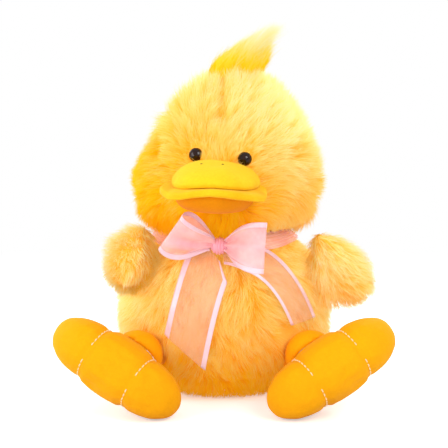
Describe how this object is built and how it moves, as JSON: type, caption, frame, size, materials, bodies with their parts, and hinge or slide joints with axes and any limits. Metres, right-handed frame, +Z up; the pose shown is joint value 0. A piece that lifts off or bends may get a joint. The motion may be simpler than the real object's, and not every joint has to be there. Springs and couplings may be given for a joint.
{
  "type": "plush duck",
  "caption": "Sitting plush toy duck with stuffed body, head, wings, legs and webbed feet, a fabric bill, plastic eyes and a ribbon bow.",
  "frame": {"origin": "middle of the flat patch that the body sits on", "axes": "+Z up; the duck faces -Y, so its own left side is +X"},
  "size_m": [0.2478, 0.2175, 0.2758],
  "materials": {
    "plush": "long soft pile, deeper golden at its roots",
    "crest_plush": "long soft pile, almost white at its tips",
    "bill_fabric": "smooth short-nap fabric",
    "lower_bill_fabric": "smooth short-nap fabric",
    "foot_fabric": "smooth short-nap fabric with cream stitch lines",
    "leg_fabric": "smooth short-nap fabric",
    "polyester_stuffing": "loose white fibre",
    "pellet_bag_cloth": "woven cloth",
    "eye_plastic": "glossy",
    "washer_plastic": "satin",
    "organza_ribbon": "sheer, with satin edges"
  },
  "bodies": {
    "body": {"body_cover": "plush", "body_stuffing": "polyester_stuffing", "pellet_bag": "pellet_bag_cloth", "tail_cover": "plush", "tail_stuffing": "polyester_stuffing", "neck_ribbon": "organza_ribbon", "bow_knot": "organza_ribbon", "bow_loop_left": "organza_ribbon", "bow_loop_right": "organza_ribbon", "ribbon_tail_left": "organza_ribbon", "ribbon_tail_right": "organza_ribbon"},
    "head": {"head_cover": "plush", "head_stuffing": "polyester_stuffing", "crest_tuft": "crest_plush", "upper_bill_cover": "bill_fabric", "upper_bill_stuffing": "polyester_stuffing", "lower_bill_cover": "lower_bill_fabric", "lower_bill_stuffing": "polyester_stuffing", "eye_left": "eye_plastic", "eye_right": "eye_plastic", "eye_washer_left": "washer_plastic", "eye_washer_right": "washer_plastic"},
    "wing_left": {"wing_left_cover": "plush", "wing_left_stuffing": "polyester_stuffing"},
    "wing_right": {"wing_right_cover": "plush", "wing_right_stuffing": "polyester_stuffing"},
    "leg_left": {"leg_left_cover": "leg_fabric", "leg_left_stuffing": "polyester_stuffing", "foot_left_cover": "foot_fabric", "foot_left_stuffing": "polyester_stuffing"},
    "leg_right": {"leg_right_cover": "leg_fabric", "leg_right_stuffing": "polyester_stuffing", "foot_right_cover": "foot_fabric", "foot_right_stuffing": "polyester_stuffing"}
  },
  "joints": [
    {"name": "neck_turn", "type": "hinge", "parent": "body", "child": "head", "pos_m": [0, 0, 0.12348], "axis": [0, 0, 1], "range_deg": [-8, 22], "stiffness_Nm_per_rad": 0.12},
    {"name": "wing_left_swing", "type": "hinge", "parent": "body", "child": "wing_left", "pos_m": [0.07607, -0.02656, 0.089], "axis": [-0.2311, 0.2952, 0.927], "range_deg": [-48, 12], "stiffness_Nm_per_rad": 0.012},
    {"name": "wing_right_swing", "type": "hinge", "parent": "body", "child": "wing_right", "pos_m": [-0.06863, -0.0242, 0.101], "axis": [0.2311, 0.2952, 0.927], "range_deg": [-80, 0], "stiffness_Nm_per_rad": 0.012},
    {"name": "leg_left_lift", "type": "hinge", "parent": "body", "child": "leg_left", "pos_m": [0.06407, -0.05787, 0.036], "axis": [-0.7425, -0.6698, 0], "range_deg": [-25, 30], "stiffness_Nm_per_rad": 0.15},
    {"name": "leg_right_lift", "type": "hinge", "parent": "body", "child": "leg_right", "pos_m": [-0.06407, -0.05787, 0.036], "axis": [-0.7425, 0.6698, 0], "range_deg": [-25, 30], "stiffness_Nm_per_rad": 0.15}
  ]
}
